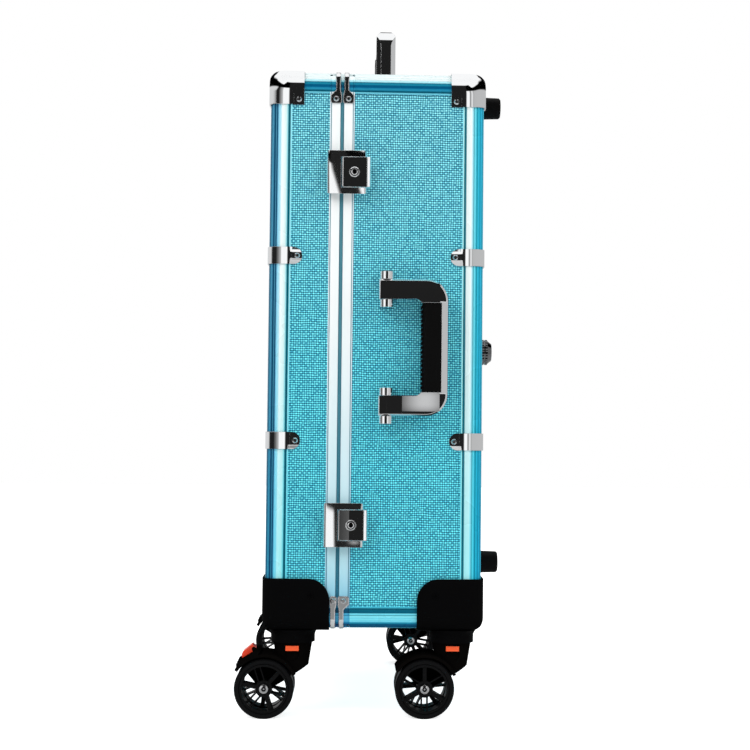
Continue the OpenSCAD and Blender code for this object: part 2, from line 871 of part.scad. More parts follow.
module lever_plate() {
  bead = 2.4;
  intersection() {
    translate([0, 0, -lever_h / 2]) along_z(lever_h) difference() {
      union() {
        translate([-3, -6.4]) square([lever_l - bead, 3]);
        translate([lever_l - 3 - bead, -5.1]) circle(bead);
      }
      // rounded outer edge at the pivot
      difference() {
        translate([-4, -7.4]) square([2.4, 2.4]);
        translate([-1.6, -5]) circle(1.4);
      }
    }
    translate([-3, -20, -lever_h / 2]) along_y(40) round_plate(lever_l, lever_h, 2);
  }
}

// rectangle with rounded corners
module round_plate(w, h, r) {
  translate([r, 0]) square([w - 2 * r, h]);
  translate([0, r]) square([w, h - 2 * r]);
  for (x = [r, w - r], y = [r, h - r]) translate([x, y]) circle(r);
}

// hook plate round the lever, in lever axes
module latch_hook(z) {
  r = hook_h / 2;
  left = -3.4 - frame_leg - 2.9;
  long = 41;
  color([0.78, 0.79, 0.80]) world() translate([lever_x, lever_y, z]) difference() {
    union() {
      intersection() {
        translate([left, 0, -r]) along_z(hook_h) hook2d(long);
        translate([left, -20, -r]) along_y(40) round_plate(long, hook_h, 2.6);
      }
      for (s = [-1, 1]) translate([hook_dx, -2.2, s * 17.6 - 1.3]) {
        cylinder(r = 2.2, h = 2.6, $fn = 24);
        translate([-2.2, -2.4, 0]) cube([4.4, 2.4, 2.6]);
      }
    }
    translate([-3.9, -10, -lever_h / 2 - 0.4]) cube([60, 7.2, lever_h + 0.8]);
    translate([hook_dx, -2.2, -r - 1]) cylinder(r = 1.06, h = hook_h + 2, $fn = 24);
  }
}

// section of the hook plate: rolled over at both ends, with the lip at X 0
module hook2d(long) {
  translate([4, -5.4]) square([long - 7, 1.4]);
  intersection() {
    translate([4, -1.4]) difference() {
      circle(4);
      circle(2.2);
    }
    translate([0, -5.4]) square([4.1, 4]);
  }
  translate([0, -1.5]) square([1.8, 3.2]);
  intersection() {
    translate([long - 3, -2.4]) difference() {
      circle(3);
      circle(1.6);
    }
    translate([long - 3.1, -5.4]) square([3.1, 3]);
  }
}

module key_barrel(z) {
  color([0.86, 0.87, 0.88]) world() translate([lever_x + key_dx, lever_y - 0.6, z])
    rotate([90, 0, 0]) difference() {
      union() {
        cylinder(r = 5.12, h = 6);
        translate([0, 0, 5.9]) cylinder(r1 = 5.12, r2 = 4.4, h = 0.7);
      }
      translate([0, 0, 5.2]) difference() {
        cylinder(r = 4.2, h = 3);
        cylinder(r = 3.2, h = 3);
      }
      translate([-0.6, -2.2, 3]) cube([1.2, 4.4, 6]);
    }
}

module upper_latch_lever() {
  latch_lever(latch_z[0]);
}

module upper_latch_hook() {
  latch_hook(latch_z[0]);
}

module upper_key_barrel() {
  key_barrel(latch_z[0]);
}

module lower_latch_lever() {
  latch_lever(latch_z[1]);
}

module lower_latch_hook() {
  latch_hook(latch_z[1]);
}

module lower_key_barrel() {
  key_barrel(latch_z[1]);
}

// caster in its own axes: swivel axis on Z, trailing towards -X, button side -Y

module fork(braked) {
  difference() {
    union() {
      if (braked) brake_ears();
      intersection() {
        translate([0, 0, 40]) cylinder(r1 = 14.2, r2 = 19.8, h = head_top - 40);
        translate([0, -25, 0]) along_y(50)
          polygon([[-30, head_top], [30, head_top], [30, wheel_r + 21.9], [15, wheel_r + 21.9],
            [1, wheel_r + 13.6], [-30, wheel_r + 13.6]]);
      }
      translate([0, 0, head_top - 4]) cylinder(r = 5.95, h = 14);
      // hood over both wheels
      translate([-trail, -22.5, wheel_r]) along_y(45) hood2d(braked);
      // web between the wheels
      translate([-trail, -3.4, wheel_r]) along_y(6.8) web2d();
    }
    // room of the wheels
    translate([-trail, 0, wheel_r]) both_y() translate([0, 3.6, 0]) rotate([-90, 0, 0])
      cylinder(r = wheel_r + 1.8, h = 30);
    translate([-trail, -10, wheel_r]) rotate([-90, 0, 0]) cylinder(r = 3, h = 20);
    // shaft of the release button
    translate([-7, -40, head_top - 7.8]) cube([14, 32.8, 5.6]);
    // finger recess under the button
    translate([0, -22.6, head_top - 11.1]) rotate([-90, 0, 0]) cylinder(r = 7, h = 7.2);
  }
}

module hood2d(braked) {
  difference() {
    union() {
      intersection() {
        circle(hood_r);
        polygon([[0, 0], [-60, 38.5], [-60, 80], [60, 80], [60, 28]]);
      }
      // tail that carries the brake lever
      if (braked) rotate(tail_turn) polygon([[-13, wheel_r - 1], [-10.8, tail_r - 0.8],
        [-9.8, tail_r], [13.6, tail_r], [16.4, tail_r - 3], [0, wheel_r]]);
    }
    circle(wheel_r + 1.8);
  }
}

module web2d() {
  intersection() {
    circle(wheel_r + 3);
    polygon([[-5, -5], [-7, 0], [-22, 18], [-22, 40], [30, 40], [30, 12], [7, -2], [4, -5]]);
  }
  circle(6.5);
}

// pair of wheels, each turned on the axle by its own angle
module wheels(spin) {
  translate([-trail, 0, wheel_r]) {
    translate([0, 4.4, 0]) rotate([-90, 0, 0]) wheel(spin + 25);
    mirror([0, 1, 0]) translate([0, 4.4, 0]) rotate([-90, 0, 0]) wheel(spin);
  }
}

// wheel: inner face at Z 0, outer face at Z wheel_w
module wheel(spin) {
  rim = wheel_r - 7.8;
  difference() {
    union() {
      rotate_extrude($fn = 48) polygon([[rim, 0], [wheel_r - 1.5, 0], [wheel_r, 1.5],
        [wheel_r, wheel_w - 1.5], [wheel_r - 1.5, wheel_w], [wheel_r - 4.5, wheel_w],
        [wheel_r - 5, wheel_w - 0.9], [wheel_r - 5.6, wheel_w - 0.3], [rim, wheel_w - 0.3]]);
      cylinder(r = 8.4, h = wheel_w - 1.6);
      // solid spokes and pairs of thin ribs, in turn
      for (a = [0, 120, 240]) rotate([0, 0, spin + a]) {
        translate([0, -2, 2]) cube([rim + 1, 4, wheel_w - 4.2]);
        rotate([0, 0, 60]) for (y = [-3.5, 2.3])
          translate([0, y, 2]) cube([rim + 1, 1.2, wheel_w - 4.6]);
      }
    }
    translate([0, 0, -1]) cylinder(r = 3.06, h = wheel_w + 2, $fn = 32);
  }
}

module axle() {
  translate([-trail, 0, wheel_r]) {
    rotate([-90, 0, 0]) translate([0, 0, -wheel_w - 4.4 + 1.4])
      cylinder(r = 3, h = 2 * (wheel_w + 3), $fn = 32);
    both_y() translate([0, wheel_w + 4.4 - 1.5, 0]) rotate([-90, 0, 0]) {
      difference() {
        union() {
          cylinder(r = 5.5, h = 0.9);
          translate([0, 0, 0.9]) cylinder(r1 = 5.5, r2 = 4.4, h = 0.9);
        }
        translate([0, 0, 0.7]) cylinder(r = 2.5, h = 2, $fn = 6);
      }
    }
  }
}

module button() {
  translate([-6.6, -19.8, head_top - 7.5]) cube([13.2, 10, 5]);
}

// axes of the brake lever: pivot along Y at the origin, Z away from the axle
module at_brake() {
  translate([-trail, 0, wheel_r]) rotate([0, -tail_turn, 0])
    translate([brake_dx, 0, tail_r + 2]) children();
}

module brake() {
  at_brake() rotate([90, 0, 0]) translate([0, 0, -8]) difference() {
    linear_extrude(16) union() {
      circle(1.9, $fn = 24);
      polygon([[-14.6, -1.7], [0, -1.7], [1.2, 0.4], [1.2, 4], [0.2, 4.7], [-10.6, 3.4],
        [-13.2, 2], [-14.6, -0.4]]);
    }
    translate([0, 0, -1]) cylinder(r = 1.06, h = 18, $fn = 24);
  }
}

// ears and pin that carry a brake lever
module brake_ears() {
  at_brake() rotate([90, 0, 0]) {
    for (y = [8.3, -10.3]) translate([0, 0, y]) linear_extrude(2) union() {
      circle(2.1, $fn = 24);
      translate([-2.1, -4]) square([4.2, 4]);
    }
    translate([0, 0, -9]) cylinder(r = 1, h = 18, $fn = 24);
  }
}

module at_caster(sx, sy) {
  world() translate([sx * swivel_x, sy * swivel_y, 0])
    mirror([0, sy > 0 ? 1 : 0, 0]) children();
}

module front_lid_fork() {
  color([0.06, 0.06, 0.06]) at_caster(-1, -1) fork(true);
}

module front_lid_wheels() {
  color([0.04, 0.04, 0.04]) at_caster(-1, -1) wheels(-48);
}

module front_lid_axle() {
  color([0.80, 0.81, 0.82]) at_caster(-1, -1) axle();
}

module front_lid_release_button() {
  color([0.95, 0.30, 0.08]) at_caster(-1, -1) button();
}

module front_lid_brake_lever() {
  color([0.90, 0.18, 0.08]) at_caster(-1, -1) brake();
}

module rear_lid_fork() {
  color([0.06, 0.06, 0.06]) at_caster(-1, 1) fork(true);
}

module rear_lid_wheels() {
  color([0.04, 0.04, 0.04]) at_caster(-1, 1) wheels(-30);
}

module rear_lid_axle() {
  color([0.80, 0.81, 0.82]) at_caster(-1, 1) axle();
}

module rear_lid_release_button() {
  color([0.95, 0.30, 0.08]) at_caster(-1, 1) button();
}

module rear_lid_brake_lever() {
  color([0.90, 0.18, 0.08]) at_caster(-1, 1) brake();
}

module front_body_fork() {
  color([0.06, 0.06, 0.06]) at_caster(1, -1) fork(false);
}

module front_body_wheels() {
  color([0.04, 0.04, 0.04]) at_caster(1, -1) wheels(-90);
}

module front_body_axle() {
  color([0.80, 0.81, 0.82]) at_caster(1, -1) axle();
}

module rear_body_fork() {
  color([0.06, 0.06, 0.06]) at_caster(1, 1) fork(false);
}

module rear_body_wheels() {
  color([0.04, 0.04, 0.04]) at_caster(1, 1) wheels(-75);
}

module rear_body_axle() {
  color([0.80, 0.81, 0.82]) at_caster(1, 1) axle();
}

module front_body_release_button() {
  color([0.95, 0.30, 0.08]) at_caster(1, -1) button();
}

module rear_body_release_button() {
  color([0.95, 0.30, 0.08]) at_caster(1, 1) button();
}

body_back_panel();
body_end_panels();
body_side_panels();
body_edge_profiles();
body_opening_frame();
body_lining();
body_dividers();
body_ball_corners();
body_parting_corners();
body_straps();
body_rivets();
body_caster_housings();
back_feet();
back_knob();
hinge_body_leaves();
hinge_pins();
latch_bases();
handle_ears();
side_handle();
side_handle_grip();
top_handle();
top_handle_grip();
lid_front_panel();
lid_end_panels();
lid_side_panels();
lid_edge_profiles();
lid_opening_frame();
lid_lining();
lid_mirror();
lid_ball_corners();
lid_parting_corners();
lid_straps();
lid_rivets();
lid_caster_housings();
hinge_lid_leaves();
latch_catches();
upper_latch_lever();
upper_latch_hook();
upper_key_barrel();
lower_latch_lever();
lower_latch_hook();
lower_key_barrel();
front_lid_fork();
front_lid_wheels();
front_lid_axle();
front_lid_release_button();
front_lid_brake_lever();
rear_lid_fork();
rear_lid_wheels();
rear_lid_axle();
rear_lid_release_button();
rear_lid_brake_lever();
front_body_fork();
front_body_wheels();
front_body_axle();
front_body_release_button();
rear_body_fork();
rear_body_wheels();
rear_body_axle();
rear_body_release_button();
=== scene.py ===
import bpy
import json
import math
from mathutils import Matrix, Vector

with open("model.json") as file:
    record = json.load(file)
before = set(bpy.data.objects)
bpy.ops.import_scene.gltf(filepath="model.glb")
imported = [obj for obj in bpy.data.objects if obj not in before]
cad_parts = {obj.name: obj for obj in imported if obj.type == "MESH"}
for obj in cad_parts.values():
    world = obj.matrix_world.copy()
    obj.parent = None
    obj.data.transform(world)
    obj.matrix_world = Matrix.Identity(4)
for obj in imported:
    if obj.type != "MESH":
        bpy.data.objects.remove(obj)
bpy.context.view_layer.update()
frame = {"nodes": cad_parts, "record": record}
nodes = frame["nodes"]
scene = bpy.context.scene

# camera

cameraLook = {
    "target": (0.046422, 0.00805, 0.358168),
    "distance": 1.68107,
    "yaw": 0.03896,  # radians to the right of +Y
    "rise": 0.04071,  # radians above the horizon
    "roll": -0.00906,
    "focal": 70.19,  # millimetres, like the width of the sensor
    "sensor": 36,
    "shiftX": -0.0451,
    "shiftY": -0.00385,
}


def makeCamera(look):
    yaw, rise, roll = look["yaw"], look["rise"], look["roll"]
    ahead = Vector((math.sin(yaw) * math.cos(rise), math.cos(yaw) * math.cos(rise), math.sin(rise)))
    right = Vector((math.cos(yaw), -math.sin(yaw), 0))
    up = right.cross(ahead)
    across = right * math.cos(roll) - up * math.sin(roll)
    above = right * math.sin(roll) + up * math.cos(roll)
    place = Vector(look["target"]) - ahead * look["distance"]
    camera = bpy.data.objects.new("camera", bpy.data.cameras.new("camera"))
    camera.matrix_world = Matrix((
        (across.x, above.x, -ahead.x, place.x),
        (across.y, above.y, -ahead.y, place.y),
        (across.z, above.z, -ahead.z, place.z),
        (0, 0, 0, 1)))
    camera.data.lens = look["focal"]
    camera.data.sensor_width = look["sensor"]
    camera.data.shift_x = look["shiftX"]
    camera.data.shift_y = look["shiftY"]
    scene.collection.objects.link(camera)
    scene.camera = camera


makeCamera(cameraLook)
print("camera placed")

# helpers for node trees


def feed(tree, node, values):
    # sets or links the named or numbered inputs of a node
    for key, value in values:
        if value is None:
            continue
        if isinstance(value, (int, float, tuple)):
            node.inputs[key].default_value = value
        else:
            tree.links.new(value, node.inputs[key])


def maths(tree, operation, a, b=None, c=None):
    node = tree.nodes.new("ShaderNodeMath")
    node.operation = operation
    feed(tree, node, enumerate((a, b, c)))
    return node.outputs[0]


def vectorMaths(tree, operation, a, b=None, scale=None, output="Vector"):
    node = tree.nodes.new("ShaderNodeVectorMath")
    node.operation = operation
    feed(tree, node, ((0, a), (1, b), ("Scale", scale)))
    return node.outputs[output]


def mixColours(tree, share, first, second, blend="MIX"):
    mixed = tree.nodes.new("ShaderNodeMix")
    mixed.data_type = "RGBA"
    mixed.blend_type = blend
    feed(tree, mixed, (("Factor", share), (6, first), (7, second)))
    return mixed.outputs[2]


def tintBy(tree, share, colour, tint):
    return mixColours(tree, share, colour, mixColours(tree, 1.0, colour, tint, "MULTIPLY"))


def colourRamp(tree, value, stops, span=1.0):
    ramp = tree.nodes.new("ShaderNodeValToRGB")
    elements = ramp.color_ramp.elements
    while len(elements) < len(stops):
        elements.new(0.5)
    for element, (place, colour) in zip(elements, stops):
        element.position = place / span
        element.color = (*colour, 1)
    if span != 1.0:
        value = maths(tree, "DIVIDE", value, span)
    tree.links.new(value, ramp.inputs["Fac"])
    return ramp.outputs["Color"]


def remap(tree, value, low, high, first=0.0, last=1.0, kind="LINEAR"):
    node = tree.nodes.new("ShaderNodeMapRange")
    node.interpolation_type = kind
    ends = {"Value": value, "From Min": low, "From Max": high, "To Min": first, "To Max": last}
    feed(tree, node, ends.items())
    return node.outputs["Result"]


def softStep(tree, value, low, high):
    return remap(tree, value, low, high, kind="SMOOTHSTEP")


def blendValues(tree, share, first, second):
    kept = maths(tree, "MULTIPLY", first, maths(tree, "SUBTRACT", 1, share))
    return maths(tree, "ADD", kept, maths(tree, "MULTIPLY", second, share))


def distance(tree, a, b):
    squares = maths(tree, "ADD", maths(tree, "MULTIPLY", a, a), maths(tree, "MULTIPLY", b, b))
    return maths(tree, "SQRT", squares)


def splitVector(tree, vector):
    parts = tree.nodes.new("ShaderNodeSeparateXYZ")
    tree.links.new(vector, parts.inputs[0])
    return parts.outputs


def pointAxes(tree, kind="Object"):
    return splitVector(tree, tree.nodes.new("ShaderNodeTexCoord").outputs[kind])


def addNoise(tree, point, scale, detail):
    noise = tree.nodes.new("ShaderNodeTexNoise")
    feed(tree, noise, (("Vector", point), ("Scale", scale), ("Detail", detail)))
    return noise.outputs["Fac"]


def pathMask(tree):
    # 1 for camera, mirror and glass rays
    path = tree.nodes.new("ShaderNodeLightPath").outputs
    seen = maths(tree, "MAXIMUM", path["Is Camera Ray"], path["Is Glossy Ray"])
    return maths(tree, "MAXIMUM", seen, path["Is Transmission Ray"])


def newMaterial(name):
    mat = bpy.data.materials.new(name)
    mat.use_nodes = True
    tree = mat.node_tree
    return mat, tree, tree.nodes["Principled BSDF"]


# lights, floor and sky

lightRig = {
    "sky": 0.62,  # what matt surfaces receive
    "lamps": [  # place, aim, width, height, watts
        ((-1.3, -1.5, 1.9), (0, 0, 0.4), 1.4, 1.4, 22),
        ((1.5, -1.2, 1.5), (0, 0, 0.35), 1.0, 1.6, 14),
        ((0.3, 1.6, 1.8), (0, 0, 0.4), 1.6, 1.2, 14),
    ],
    "floorSize": 12,
    "floorColour": (0.86, 0.86, 0.86, 1),
    "floorRoughness": 0.9,
    "floorSpecular": 0.1,
    "floorLift": 0.74,  # glow that camera and glass rays see
    "floorMirrorColour": (0.50, 0.50, 0.50, 1),
    "floorMirrored": 0.10,  # glow that mirror rays see
    "leftSurround": [  # tones that mirror rays see at the left, by the angle from the front in degrees
        (0, 1.0), (49, 1.0), (53, 0.50), (70, 0.16), (77, 0.015), (88, 0.015), (91, 0.68), (180, 0.95),
    ],
    "rightSurround": [
        (0, 1.0), (34, 1.0), (37, 0.32), (43, 0.32), (46, 0.80), (55, 0.72), (58, 0.32), (62, 0.50),
        (150, 0.55), (178, 0.35),
    ],
    "darkBand": (30, 63, 46),  # degrees above the horizon: top of the walls, ceiling ahead, ceiling at the sides
    "wallBlur": 0.03,  # half of the soft edge, in sines of these angles
    "ceilingBlur": 0.02,
    "ceilingTurn": (46, 62),  # degrees from the front over which the ceiling comes down
    "cards": [  # soft-edged cards that only reflections see: place, aim, width, height, tone, side edge, end edge
        ((0.03, -1.40, 1.33), (0.03, 0, 1.33), 1.06, 3.40, 0.014, 0.16, 0.08),
        ((0.110, -1.34, 0.345), (0.110, 0, 0.345), 0.12, 0.07, 0.58, 0.48, 0.42),
        ((-0.03, -0.80, 0.055), (-0.03, 0, 0.055), 0.30, 0.13, 0.26, 0.2, 0.2),
        ((0.03, 1.60, 0.80), (0.03, 0, 0.80), 0.90, 1.50, 0.03, 0.25, 0.15),
    ],
}


def aimAt(obj, place, aim):
    obj.location = place
    obj.rotation_euler = (Vector(aim) - Vector(place)).to_track_quat("-Z", "Y").to_euler()


def makeSky(rig):
    world = bpy.data.worlds.new("studio")
    scene.world = world
    world.use_nodes = True
    tree = world.node_tree
    sky = tree.nodes["Background"]
    sky.inputs["Color"].default_value = (1, 1, 1, 1)
    level = remap(tree, pathMask(tree), 0, 1, rig["sky"], 1)
    x, y, z = pointAxes(tree, "Generated")
    turn = maths(tree, "ARCTAN2", maths(tree, "ABSOLUTE", x), maths(tree, "MULTIPLY", y, -1))
    turned = maths(tree, "MULTIPLY", turn, 180 / math.pi)
    sides = []
    for side in ("leftSurround", "rightSurround"):
        sides.append(colourRamp(tree, turned, [(angle, (tone, tone, tone)) for angle, tone in rig[side]], 180))
    ring = mixColours(tree, maths(tree, "GREATER_THAN", x, 0), sides[0], sides[1])
    low, high, sideHigh = (math.sin(math.radians(angle)) for angle in rig["darkBand"])
    walls = softStep(tree, z, low + rig["wallBlur"], low - rig["wallBlur"])
    sideways = softStep(tree, turned, *rig["ceilingTurn"])
    edge = maths(tree, "ADD", high, maths(tree, "MULTIPLY", sideways, sideHigh - high))
    ceiling = softStep(tree, maths(tree, "SUBTRACT", z, edge), -rig["ceilingBlur"], rig["ceilingBlur"])
    seen = maths(tree, "MAXIMUM", maths(tree, "MULTIPLY", ring, walls), ceiling)
    mirror = tree.nodes.new("ShaderNodeLightPath").outputs["Is Glossy Ray"]
    loss = maths(tree, "MULTIPLY", mirror, maths(tree, "SUBTRACT", 1, seen))
    strength = maths(tree, "MULTIPLY", level, maths(tree, "SUBTRACT", 1, loss))
    tree.links.new(strength, sky.inputs["Strength"])


def makeLamp(name, place, aim, width, height, watts):
    lamp = bpy.data.lights.new(name, "AREA")
    lamp.shape = "RECTANGLE"
    lamp.size, lamp.size_y, lamp.energy = width, height, watts
    obj = bpy.data.objects.new(name, lamp)
    aimAt(obj, place, aim)
    obj.visible_glossy = False
    scene.collection.objects.link(obj)


def makeFloor(rig):
    bpy.ops.mesh.primitive_plane_add(size=rig["floorSize"], location=(0, 0, 0))
    floor = bpy.context.object
    floor.name = "floor"
    mat, tree, shader = newMaterial("floorPaint")
    mirror = tree.nodes.new("ShaderNodeLightPath").outputs["Is Glossy Ray"]
    colour = mixColours(tree, mirror, rig["floorColour"], rig["floorMirrorColour"])
    tree.links.new(colour, shader.inputs["Base Color"])
    shader.inputs["Roughness"].default_value = rig["floorRoughness"]
    shader.inputs["Specular IOR Level"].default_value = rig["floorSpecular"]
    shader.inputs["Emission Color"].default_value = (1, 1, 1, 1)
    mirrored = maths(tree, "MULTIPLY", mirror, rig["floorLift"] - rig["floorMirrored"])
    glow = maths(tree, "SUBTRACT", maths(tree, "MULTIPLY", pathMask(tree), rig["floorLift"]), mirrored)
    tree.links.new(glow, shader.inputs["Emission Strength"])
    floor.data.materials.append(mat)


def makeCard(name, place, aim, width, height, tone, sideEdge, endEdge):
    mat = bpy.data.materials.new(name)
    mat.use_nodes = True
    tree = mat.node_tree
    tree.nodes.clear()
    axes = pointAxes(tree)
    half = 0.5  # of the card before it is scaled
    fades = []
    for axis, edge in (("X", sideEdge), ("Y", endEdge)):
        fades.append(softStep(tree, maths(tree, "ABSOLUTE", axes[axis]), half, half - edge))
    glow = tree.nodes.new("ShaderNodeEmission")
    glow.inputs["Strength"].default_value = tone
    clear = tree.nodes.new("ShaderNodeBsdfTransparent")
    mixed = tree.nodes.new("ShaderNodeMixShader")
    tree.links.new(maths(tree, "MULTIPLY", fades[0], fades[1]), mixed.inputs[0])
    tree.links.new(clear.outputs[0], mixed.inputs[1])
    tree.links.new(glow.outputs[0], mixed.inputs[2])
    end = tree.nodes.new("ShaderNodeOutputMaterial")
    tree.links.new(mixed.outputs[0], end.inputs["Surface"])
    bpy.ops.mesh.primitive_plane_add(size=1)
    card = bpy.context.object
    card.name = name
    card.scale = (width, height, 1)
    aimAt(card, place, aim)
    card.visible_camera = False
    card.visible_diffuse = False
    card.visible_shadow = False
    card.visible_transmission = False
    card.data.materials.append(mat)


makeSky(lightRig)
for index, lamp in enumerate(lightRig["lamps"]):
    makeLamp("lamp%d" % index, *lamp)
makeFloor(lightRig)
for index, card in enumerate(lightRig["cards"]):
    makeCard("card%d" % index, *card)
scene.view_settings.view_transform = "Standard"
print("stage set")

# shader groups


def newGroup(name, inputs, outputs):
    # a tuple makes the input a vector, and "Normal" is the only vector that comes out
    group = bpy.data.node_groups.new(name, "ShaderNodeTree")
    for label, value in inputs.items():
        kind = "NodeSocketVector" if isinstance(value, tuple) else "NodeSocketFloat"
        socket = group.interface.new_socket(name=label, in_out="INPUT", socket_type=kind)
        socket.default_value = value
    for label in outputs:
        kind = "NodeSocketVector" if label == "Normal" else "NodeSocketFloat"
        group.interface.new_socket(name=label, in_out="OUTPUT", socket_type=kind)
    start = group.nodes.new("NodeGroupInput")
    end = group.nodes.new("NodeGroupOutput")
    return group, start.outputs, end.inputs


def facingFront(group, normal, low, high):
    # 1 where the surface faces the latch side squarely enough
    return softStep(group, maths(group, "MULTIPLY", splitVector(group, normal)["Y"], -1), low, high)


def addTilt(group, given, out, **tilts):
    # the normal that comes in leaves the group leaning by these amounts along the axes
    tilt = group.nodes.new("ShaderNodeCombineXYZ")
    for axis, amount in tilts.items():
        group.links.new(amount, tilt.inputs[axis])
    total = vectorMaths(group, "ADD", given["Normal"], tilt.outputs[0])
    group.links.new(vectorMaths(group, "NORMALIZE", total), out["Normal"])


caseShape = {  # the hard case without its casters, in metres
    "low": (-0.10425, -0.19195, 0.0915),
    "high": (0.11375, 0.20805, 0.6555),
    "partingX": -0.03145,
    "hair": 0.00005,  # depths that differ by less than this count as equal
    "fades": {  # masks for painted shade towards the bottom: heights where each begins and where it is full
        "Low Shade": (0.46, 0.10), "Half Shade": (0.62, 0.28), "Foot Shade": (0.165, 0.090),
    },
}


def makeAcrossProfile(shape):
    # how far a point of a profile lies from the edge of the case and from the parting plane, in millimetres,
    # on which bar it lies, and how low, which sets the painted shade towards the bottom
    results = ["Across", "From Parting", "Level Bar", "Upper", "Body Side", *shape["fades"]]
    group, _, out = newGroup("acrossProfile", {}, results)
    toMillimetres = 1000
    axes = pointAxes(group)
    depths = []
    for axis in range(3):
        low = maths(group, "SUBTRACT", axes[axis], shape["low"][axis])
        high = maths(group, "SUBTRACT", shape["high"][axis], axes[axis])
        depths.append(maths(group, "MINIMUM", low, high))
    least = maths(group, "MINIMUM", maths(group, "MINIMUM", depths[0], depths[1]), depths[2])
    most = maths(group, "MAXIMUM", maths(group, "MAXIMUM", depths[0], depths[1]), depths[2])
    total = maths(group, "ADD", maths(group, "ADD", depths[0], depths[1]), depths[2])
    middle = maths(group, "SUBTRACT", maths(group, "SUBTRACT", total, least), most)
    group.links.new(maths(group, "MULTIPLY", middle, toMillimetres), out["Across"])
    apart = maths(group, "SUBTRACT", axes["X"], shape["partingX"])
    group.links.new(maths(group, "MULTIPLY", maths(group, "ABSOLUTE", apart), toMillimetres), out["From Parting"])
    group.links.new(maths(group, "LESS_THAN", depths[2], maths(group, "ADD", middle, shape["hair"])), out["Level Bar"])
    halfway = (shape["low"][2] + shape["high"][2]) / 2
    group.links.new(maths(group, "GREATER_THAN", axes["Z"], halfway), out["Upper"])
    group.links.new(maths(group, "GREATER_THAN", apart, 0), out["Body Side"])
    for label, heights in shape["fades"].items():
        group.links.new(softStep(group, axes["Z"], *heights), out[label])
    return group


weaveShape = {
    "rows": 0.54, "columns": 0.34, "checks": 0.12,  # shares of the height
    "drift": 0.9, "driftScale": 60, "driftDetail": 2,  # how far the threads wander, in pitches
    "gaps": 0.25,  # how much of the unevenness shows in the gaps between the threads
    "even": 0.5,  # middle of the noise
}


def makePlainWeave(shape):
    # fine plain weave pressed into the film, the same size on every face; its Tone is the weave's pattern with painted
    # shade in the gaps and a painted highlight on the thread tops
    group, given, out = newGroup("plainWeave", {"Pitch": 0.0023, "Unevenness": 0.20}, ["Tone", "Height"])
    point = group.nodes.new("ShaderNodeTexCoord").outputs
    x, y, z = splitVector(group, point["Object"])
    facing = splitVector(group, point["Normal"])
    u = blendValues(group, maths(group, "ABSOLUTE", facing["X"]), x, y)
    v = blendValues(group, maths(group, "ABSOLUTE", facing["Z"]), z, y)
    sway = addNoise(group, point["Object"], shape["driftScale"], shape["driftDetail"])
    drift = maths(group, "MULTIPLY", maths(group, "SUBTRACT", sway, shape["even"]), shape["drift"])
    a = maths(group, "ADD", maths(group, "DIVIDE", u, given["Pitch"]), drift)
    b = maths(group, "SUBTRACT", maths(group, "DIVIDE", v, given["Pitch"]), drift)
    waveA = maths(group, "SINE", maths(group, "MULTIPLY", a, math.pi))
    waveB = maths(group, "SINE", maths(group, "MULTIPLY", b, math.pi))
    both = maths(group, "MULTIPLY", waveA, waveB)
    threads = maths(group, "ABSOLUTE", both)
    rows = maths(group, "MULTIPLY", maths(group, "ABSOLUTE", waveB), shape["rows"])
    strands = maths(group, "MULTIPLY_ADD", maths(group, "ABSOLUTE", waveA), shape["columns"], rows)
    height = maths(group, "MULTIPLY_ADD", both, shape["checks"], strands)
    cell = group.nodes.new("ShaderNodeCombineXYZ")
    group.links.new(maths(group, "FLOOR", a), cell.inputs["X"])
    group.links.new(maths(group, "FLOOR", b), cell.inputs["Y"])
    chance = group.nodes.new("ShaderNodeTexWhiteNoise")
    chance.noise_dimensions = "2D"
    group.links.new(cell.outputs[0], chance.inputs["Vector"])
    change = maths(group, "SUBTRACT", chance.outputs["Value"], shape["even"])
    spread = maths(group, "MULTIPLY", change, given["Unevenness"])
    uneven = maths(group, "MULTIPLY", spread, maths(group, "ADD", threads, shape["gaps"]))
    group.links.new(maths(group, "ADD", height, uneven), out["Tone"])
    group.links.new(height, out["Height"])
    return group


def makeBallNormal(shape):
    # normal of a case rounded like a ball at its corners, where the surface faces about that way
    group, given, out = newGroup("ballNormal", {"Depth": 0.021, "Normal": (0, 0, 0)}, ["Normal"])
    point = group.nodes.new("ShaderNodeTexCoord").outputs["Object"]
    inset = group.nodes.new("ShaderNodeCombineXYZ")
    for axis in range(3):
        group.links.new(given["Depth"], inset.inputs[axis])
    low = vectorMaths(group, "ADD", shape["low"], inset.outputs[0])
    high = vectorMaths(group, "SUBTRACT", shape["high"], inset.outputs[0])
    held = vectorMaths(group, "MINIMUM", vectorMaths(group, "MAXIMUM", point, low), high)
    part = vectorMaths(group, "DIVIDE", vectorMaths(group, "SUBTRACT", point, held), inset.outputs[0])
    facing = vectorMaths(group, "DOT_PRODUCT", part, given["Normal"], output="Value")
    along = vectorMaths(group, "SUBTRACT", part, vectorMaths(group, "SCALE", given["Normal"], scale=facing))
    size = vectorMaths(group, "DOT_PRODUCT", along, along, output="Value")
    least = 0.0001  # where the surface has turned away, the root is taken of this
    rest = maths(group, "SQRT", maths(group, "MAXIMUM", maths(group, "SUBTRACT", 1, size), least))
    total = vectorMaths(group, "ADD", along, vectorMaths(group, "SCALE", given["Normal"], scale=rest))
    group.links.new(vectorMaths(group, "NORMALIZE", total), out["Normal"])
    return group


headShape = {
    "steps": {  # where the tones change, in radii of the socket
        "rim": (0.88, 1.12), "floor": (0.20, 0.45), "ringInside": (0.54, 0.60), "ringOutside": (0.74, 0.80),
    },
    # colour of the painted shade in a socket or keyhole
    "dark": (0.012, 0.012, 0.014, 1),
    "axle": {"Socket": 0.0024, "Dome": 110, "Glint": 1, "Ring": 0},
    "keyhole": {"Socket": 0.0042, "Dome": 150, "Glint": 0, "Ring": 1},
}


